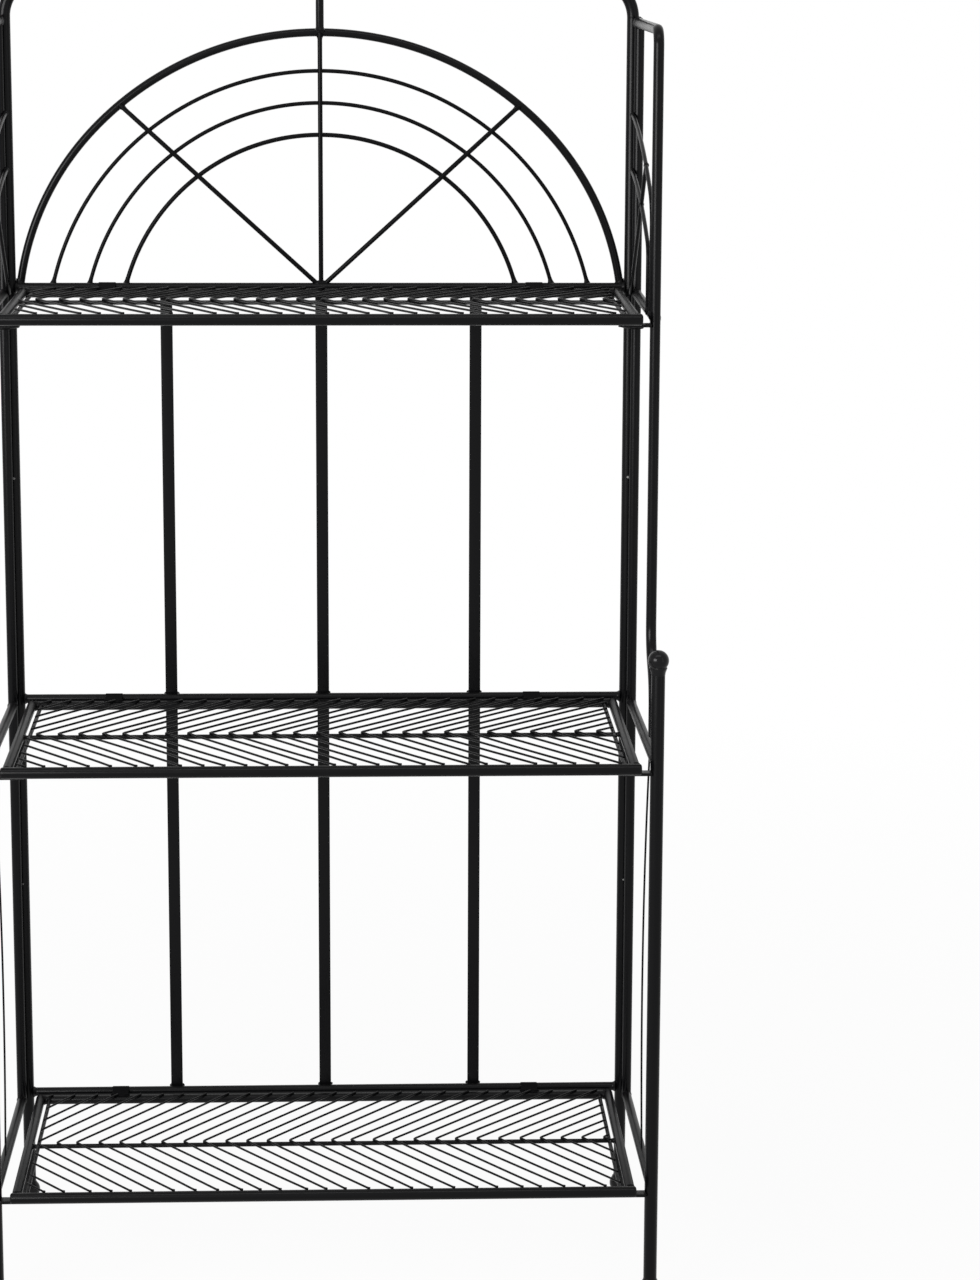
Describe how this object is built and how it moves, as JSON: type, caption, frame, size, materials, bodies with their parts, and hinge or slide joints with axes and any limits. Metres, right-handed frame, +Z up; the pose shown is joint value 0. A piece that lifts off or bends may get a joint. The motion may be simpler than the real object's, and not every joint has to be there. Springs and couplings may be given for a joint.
{
  "type": "folding plant stand",
  "caption": "Folding plant stand of black tube and wire: an arched back with a sunburst fan, side frames that swing on rings, and wire shelves that lift up",
  "frame": {"origin": "centre of the bounding box on the floor plane", "axes": "+X to the right seen from the front, +Y to the back frame, +Z up; the open front faces -Y"},
  "size_m": [0.6538, 0.3194, 1.3388],
  "materials": {
    "black_paint": "satin black powder coat over welded steel"
  },
  "bodies": {
    "back_frame": {"back_upright_left": "black_paint", "back_upright_right": "black_paint", "top_arch": "black_paint", "back_rail_top": "black_paint", "back_rail_middle": "black_paint", "back_rail_bottom": "black_paint", "back_bar_left": "black_paint", "back_bar_centre": "black_paint", "back_bar_right": "black_paint", "fan_outer_hoop": "black_paint", "fan_inner_hoops": "black_paint", "fan_spokes": "black_paint", "centre_post": "black_paint", "rear_feet": "black_paint", "hinge_rings_left": "black_paint", "hinge_rings_right": "black_paint"},
    "left_side_frame": {"left_rear_tube": "black_paint", "left_front_hoop": "black_paint", "left_leg": "black_paint", "left_leg_balls": "black_paint", "left_side_rails": "black_paint", "left_shelf_rests": "black_paint", "left_outer_wire": "black_paint", "left_inner_wire": "black_paint", "left_corner_spoke": "black_paint", "left_lower_tie": "black_paint"},
    "right_side_frame": {"right_rear_tube": "black_paint", "right_front_hoop": "black_paint", "right_leg": "black_paint", "right_leg_balls": "black_paint", "right_side_rails": "black_paint", "right_shelf_rests": "black_paint", "right_outer_wire": "black_paint", "right_inner_wire": "black_paint", "right_corner_spoke": "black_paint", "right_lower_tie": "black_paint"},
    "top_shelf": {"top_shelf_front_rail": "black_paint", "top_shelf_rear_rail": "black_paint", "top_shelf_sides": "black_paint", "top_shelf_border_wires": "black_paint", "top_shelf_centre_rod": "black_paint", "top_shelf_wires": "black_paint", "top_shelf_straps": "black_paint"},
    "middle_shelf": {"middle_shelf_front_rail": "black_paint", "middle_shelf_rear_rail": "black_paint", "middle_shelf_sides": "black_paint", "middle_shelf_border_wires": "black_paint", "middle_shelf_centre_rod": "black_paint", "middle_shelf_wires": "black_paint", "middle_shelf_straps": "black_paint"},
    "bottom_shelf": {"bottom_shelf_front_rail": "black_paint", "bottom_shelf_rear_rail": "black_paint", "bottom_shelf_sides": "black_paint", "bottom_shelf_border_wires": "black_paint", "bottom_shelf_centre_rod": "black_paint", "bottom_shelf_wires": "black_paint", "bottom_shelf_straps": "black_paint"}
  },
  "joints": [
    {"name": "left_frame_swing", "type": "hinge", "parent": "back_frame", "child": "left_side_frame", "pos_m": [-0.3153, 0.13976, 0.6], "axis": [0, 0, -1], "range_deg": [0, 130]},
    {"name": "right_frame_swing", "type": "hinge", "parent": "back_frame", "child": "right_side_frame", "pos_m": [0.3153, 0.13976, 0.6], "axis": [0, 0, 1], "range_deg": [0, 130]},
    {"name": "top_shelf_lift", "type": "hinge", "parent": "back_frame", "child": "top_shelf", "pos_m": [0, 0.14975, 0.956], "axis": [-1, 0, 0], "range_deg": [0, 70]},
    {"name": "middle_shelf_lift", "type": "hinge", "parent": "back_frame", "child": "middle_shelf", "pos_m": [0, 0.14975, 0.536], "axis": [-1, 0, 0], "range_deg": [0, 90]},
    {"name": "bottom_shelf_lift", "type": "hinge", "parent": "back_frame", "child": "bottom_shelf", "pos_m": [0, 0.14975, 0.116], "axis": [-1, 0, 0], "range_deg": [0, 90]}
  ]
}
